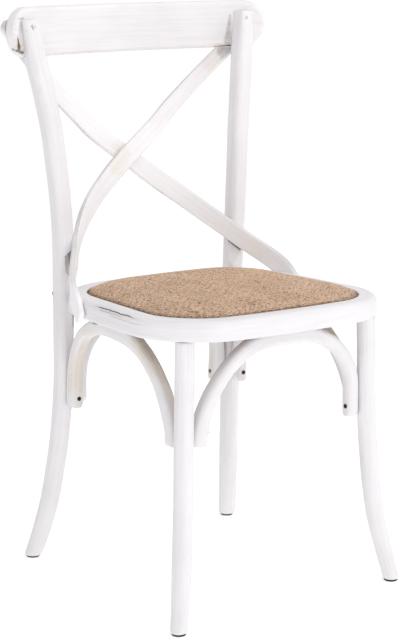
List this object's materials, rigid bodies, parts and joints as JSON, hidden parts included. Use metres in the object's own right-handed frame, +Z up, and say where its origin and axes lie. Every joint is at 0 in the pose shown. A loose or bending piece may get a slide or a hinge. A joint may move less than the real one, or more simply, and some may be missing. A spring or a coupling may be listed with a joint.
{
  "type": "cross-back chair",
  "caption": "White cross-back dining chair: X of bent strips under a curved crest rail, rounded seat ring with a woven cane panel, arched braces between splayed legs.",
  "frame": {"origin": "centre of the bounding box's bottom face, on the floor between the feet", "axes": "+Z up, +X to the right of someone looking at the chair's front, -Y towards the front of the seat, +Y towards the back rest"},
  "size_m": [0.492, 0.475, 0.8909],
  "materials": {
    "white_paint": "brushed off-white paint over wood, thin and slightly rubbed at edges and joints",
    "cane": "fine woven rattan cane, matt tan brown",
    "dark_steel": "blackened screw heads",
    "painted_screw": "screw heads painted over with the off-white paint",
    "glide": "matt black pad"
  },
  "bodies": {
    "root": {"seat_ring": "white_paint", "woven_seat_panel": "cane", "crest_rail": "white_paint", "cross_strip_front": "white_paint", "cross_strip_back": "white_paint", "arch_brace_front": "white_paint", "arch_brace_back": "white_paint", "arch_brace_left": "white_paint", "arch_brace_right": "white_paint", "front_left_leg": "white_paint", "front_right_leg": "white_paint", "rear_left_post": "white_paint", "rear_right_post": "white_paint", "front_left_glide": "glide", "front_right_glide": "glide", "rear_left_glide": "glide", "rear_right_glide": "glide", "arch_screw_left_front": "dark_steel", "arch_screw_left_rear": "dark_steel", "arch_screw_right_front": "dark_steel", "arch_screw_right_rear": "dark_steel", "arch_screw_front_left": "dark_steel", "arch_screw_front_right": "dark_steel", "arch_screw_back_left": "dark_steel", "arch_screw_back_right": "dark_steel", "crest_screw_left": "painted_screw", "crest_screw_right": "painted_screw", "strip_screw_left": "painted_screw", "strip_screw_right": "painted_screw", "ring_bolt_left": "dark_steel", "ring_bolt_right": "dark_steel", "cross_screw": "painted_screw"}
  },
  "joints": []
}
